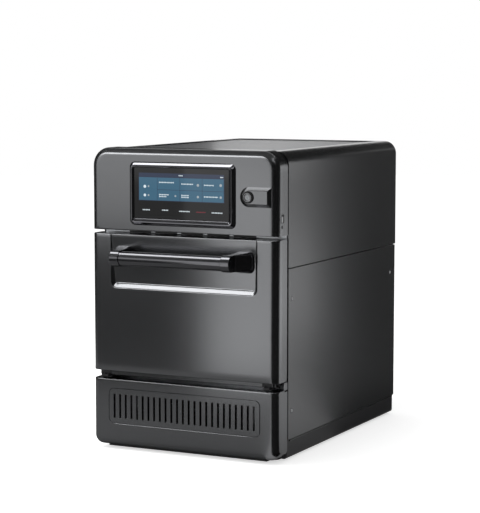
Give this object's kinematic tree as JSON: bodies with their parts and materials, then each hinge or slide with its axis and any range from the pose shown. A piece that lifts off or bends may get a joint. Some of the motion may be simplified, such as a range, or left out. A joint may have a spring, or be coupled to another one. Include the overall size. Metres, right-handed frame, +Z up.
{
  "type": "speed oven",
  "caption": "Narrow countertop speed oven with a touch-screen fascia, a drop-down door with a bar handle, a slotted intake panel and a hot-air blower, microwave and cooling fan inside.",
  "frame": {"origin": "middle of the footprint, on the counter, under the centre of the bounding box", "axes": "+Z up, +X to the oven's right as seen from the front, the door and screen face -Y"},
  "size_m": [0.398, 0.6646, 0.5885],
  "materials": {
    "black_coat": "near-black satin powder coat",
    "dark_coat": "dark satin powder coat",
    "gloss_black": "gloss black",
    "screen_glass": "tinted flat glass",
    "display": "lit display panel",
    "satin_black": "satin black",
    "stainless": "brushed stainless steel",
    "galvanised": "galvanised sheet",
    "dark_steel": "dark steel",
    "cook_plate": "dark anodised pan",
    "rubber": "matt rubber",
    "gasket": "dark silicone",
    "insulation": "mineral wool blanket",
    "circuit_board": "green circuit board",
    "copper": "copper and lacquered laminations",
    "aluminium": "plain aluminium"
  },
  "bodies": {
    "oven": {"base_pan": "dark_coat", "foot_front_left": "rubber", "foot_front_right": "rubber", "foot_rear_left": "rubber", "foot_rear_right": "rubber", "lower_front_panel": "black_coat", "intake_grille": "black_coat", "fascia_housing": "black_coat", "screen_bezel": "gloss_black", "touch_glass": "screen_glass", "display_module": "display", "control_board": "circuit_board", "button_ring": "gloss_black", "button_switch": "satin_black", "service_port": "satin_black", "outlet_strip": "dark_coat", "hinge_bracket_left": "dark_steel", "hinge_bracket_right": "dark_steel", "interlock_switch_left": "satin_black", "interlock_switch_right": "satin_black", "side_panel_right": "black_coat", "side_panel_left": "black_coat", "upper_cover": "black_coat", "top_vent_grille": "stainless", "front_frame": "stainless", "rear_panel": "galvanised", "cable_gland": "satin_black", "cavity_liner": "stainless", "insulation_jacket": "insulation", "component_shelf": "galvanised", "cavity_support_left": "galvanised", "cavity_support_right": "galvanised", "lower_jet_plate": "stainless", "upper_jet_plate": "stainless", "cook_plate": "cook_plate", "blower_inlet_grille": "stainless", "blower_housing": "stainless", "blower_motor": "aluminium", "heater_element": "dark_steel", "waveguide": "aluminium", "magnetron": "copper", "hv_transformer": "copper", "hv_capacitor": "aluminium", "power_board": "circuit_board", "fan_frame": "satin_black"},
    "door": {"door_skin": "black_coat", "door_inner_panel": "stainless", "door_gasket": "gasket", "handle_bar": "satin_black", "handle_bracket_left": "satin_black", "handle_bracket_right": "satin_black", "hinge_leaf_left": "dark_steel", "hinge_leaf_right": "dark_steel", "latch_hook_left": "dark_steel", "latch_hook_right": "dark_steel"},
    "power_button": {"power_button": "satin_black"},
    "blower_wheel": {"blower_wheel": "stainless"},
    "fan_rotor": {"fan_rotor": "satin_black"}
  },
  "joints": [
    {"name": "door_hinge", "type": "hinge", "parent": "oven", "child": "door", "pos_m": [0, -0.26465, 0.1432], "axis": [1, 0, 0], "range_deg": [0, 90]},
    {"name": "power_button_press", "type": "slide", "parent": "oven", "child": "power_button", "axis": [0, 1, 0], "range_m": [0, 0.002], "stiffness_N_per_m": 600},
    {"name": "blower_spin", "type": "hinge", "parent": "oven", "child": "blower_wheel", "pos_m": [0, 0.12, 0.285], "axis": [0, 1, 0], "continuous": true},
    {"name": "fan_spin", "type": "hinge", "parent": "oven", "child": "fan_rotor", "pos_m": [-0.06, -0.19, 0.0663], "axis": [0, 1, 0], "continuous": true}
  ]
}
